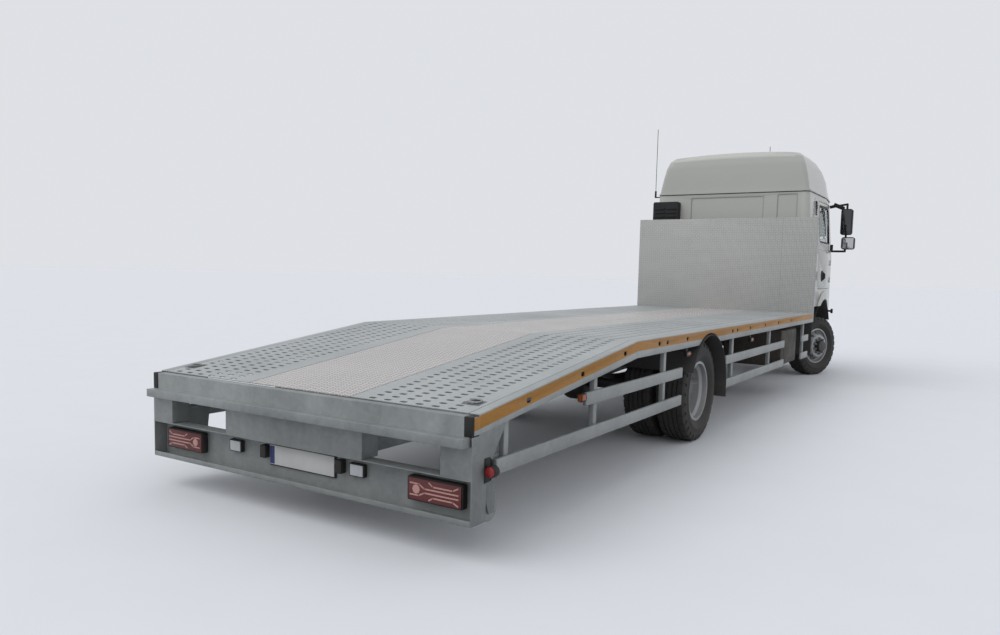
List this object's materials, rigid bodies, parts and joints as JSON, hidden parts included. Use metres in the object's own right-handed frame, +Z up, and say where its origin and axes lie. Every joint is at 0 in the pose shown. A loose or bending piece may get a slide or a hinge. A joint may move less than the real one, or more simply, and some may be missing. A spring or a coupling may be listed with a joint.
{
  "type": "car transporter truck",
  "caption": "Two-axle flatbed car transporter: high-roof tilting sleeper cab, headboard, galvanised cranked deck, twin rear wheels and a low tail with a ledge for ramps.",
  "frame": {"origin": "on the ground under the middle of the whole truck", "axes": "+Z up, -Y the way the truck faces, +X its left side"},
  "size_m": [2.75, 10.81, 3.6],
  "materials": {
    "chassis_paint": "satin black paint",
    "engine_iron": "dark cast iron",
    "aluminium": "dull aluminium",
    "galvanised": "hot-dip galvanised, spangled",
    "tread_plate": "chequered plate, satin",
    "black_plastic": "matt black",
    "grey_plastic": "dark grey, fine grain",
    "black_rubber": "matt",
    "tyre_rubber": "matt, dusty",
    "wheel_silver": "silver paint",
    "cab_paint": "off-white gloss",
    "glass": "tinted clear",
    "red_lens": "moulded lens",
    "clear_lens": "moulded lens",
    "amber_lens": "moulded lens",
    "seat_fabric": "woven"
  },
  "bodies": {
    "chassis": {"chassis_rails": "chassis_paint", "cross_tubes": "chassis_paint", "engine_block": "engine_iron", "propshaft": "chassis_paint", "rear_axle": "chassis_paint", "leaf_springs": "chassis_paint", "front_axle_beam": "chassis_paint", "tail_frame": "chassis_paint", "fuel_tank": "aluminium", "exhaust_box": "aluminium", "cross_beams": "galvanised", "long_beams": "galvanised", "deck_sides": "galvanised", "deck_tracks": "galvanised", "deck_floor": "tread_plate", "headboard": "tread_plate", "headboard_frame": "galvanised", "rear_frame": "galvanised", "end_caps": "black_plastic", "lamp_beam": "galvanised", "tail_lamps": "red_lens", "clear_lamps": "clear_lens", "side_lamps": "amber_lens", "marker_lamps": "red_lens", "roller_brackets": "galvanised", "guard_rails": "galvanised", "guard_stanchions": "galvanised", "rear_mudguards": "black_plastic", "front_flaps": "black_rubber", "bumper": "grey_plastic", "headlamps": "clear_lens"},
    "cab": {"cab_shell": "cab_paint", "cab_roof": "cab_paint", "windscreen": "glass", "grille": "black_plastic", "arch_covers": "cab_paint", "arch_liners": "black_plastic", "seats": "seat_fabric", "bunk": "seat_fabric", "dashboard": "grey_plastic", "mirrors": "black_plastic", "air_intake": "black_plastic", "aerials": "black_plastic"},
    "knuckle_left": {"knuckle_left": "chassis_paint"},
    "wheel_front_left": {"tyre_front_left": "tyre_rubber", "rim_front_left": "wheel_silver"},
    "wheels_rear_left": {"tyres_rear_left": "tyre_rubber", "rims_rear_left": "wheel_silver"},
    "roller_left": {"skid_roller_left": "galvanised"},
    "door_left": {"door_left": "cab_paint", "door_glass_left": "glass"},
    "knuckle_right": {"knuckle_right": "chassis_paint"},
    "wheel_front_right": {"tyre_front_right": "tyre_rubber", "rim_front_right": "wheel_silver"},
    "wheels_rear_right": {"tyres_rear_right": "tyre_rubber", "rims_rear_right": "wheel_silver"},
    "roller_right": {"skid_roller_right": "galvanised"},
    "door_right": {"door_right": "cab_paint", "door_glass_right": "glass"},
    "track_rod": {"track_rod": "chassis_paint"}
  },
  "joints": [
    {"name": "cab_tilt", "type": "hinge", "parent": "chassis", "child": "cab", "pos_m": [0, -5.275, 0.86], "axis": [1, 0, 0], "range_deg": [0, 50]},
    {"name": "steer_left", "type": "hinge", "parent": "chassis", "child": "knuckle_left", "pos_m": [0.845, -4.155, 0.434], "axis": [0, 0, 1], "range_deg": [-15, 65]},
    {"name": "spin_front_left", "type": "hinge", "parent": "knuckle_left", "child": "wheel_front_left", "pos_m": [0.97415, -4.21522, 0.434], "axis": [0.9063, -0.4226, 0], "continuous": true},
    {"name": "spin_rear_left", "type": "hinge", "parent": "chassis", "child": "wheels_rear_left", "pos_m": [0.9185, 1.745, 0.434], "axis": [1, 0, 0], "continuous": true},
    {"name": "roller_left_spin", "type": "hinge", "parent": "chassis", "child": "roller_left", "pos_m": [1.15, 5.095, 0.22], "axis": [1, 0, 0], "continuous": true},
    {"name": "door_left_hinge", "type": "hinge", "parent": "cab", "child": "door_left", "pos_m": [1.078, -4.708, 1.55], "axis": [0, 0, -1], "range_deg": [0, 70]},
    {"name": "steer_right", "type": "hinge", "parent": "chassis", "child": "knuckle_right", "pos_m": [-0.845, -4.155, 0.434], "axis": [0, 0, 1], "range_deg": [-15, 65]},
    {"name": "spin_front_right", "type": "hinge", "parent": "knuckle_right", "child": "wheel_front_right", "pos_m": [-0.97415, -4.09478, 0.434], "axis": [0.9063, -0.4226, 0], "continuous": true},
    {"name": "spin_rear_right", "type": "hinge", "parent": "chassis", "child": "wheels_rear_right", "pos_m": [-0.9185, 1.745, 0.434], "axis": [1, 0, 0], "continuous": true},
    {"name": "roller_right_spin", "type": "hinge", "parent": "chassis", "child": "roller_right", "pos_m": [-1.15, 5.095, 0.22], "axis": [1, 0, 0], "continuous": true},
    {"name": "door_right_hinge", "type": "hinge", "parent": "cab", "child": "door_right", "pos_m": [-1.078, -4.708, 1.55], "axis": [0, 0, 1], "range_deg": [0, 70]},
    {"name": "track_rod_ball", "type": "hinge", "parent": "knuckle_left", "child": "track_rod", "pos_m": [0.91262, -4.00999, 0.355], "axis": [0, 0, 1], "range_deg": [-65, 15]}
  ],
  "couplings": [
    {"joint": "steer_right", "follows": "steer_left", "ratio": 1},
    {"joint": "track_rod_ball", "follows": "steer_left", "ratio": -1}
  ]
}
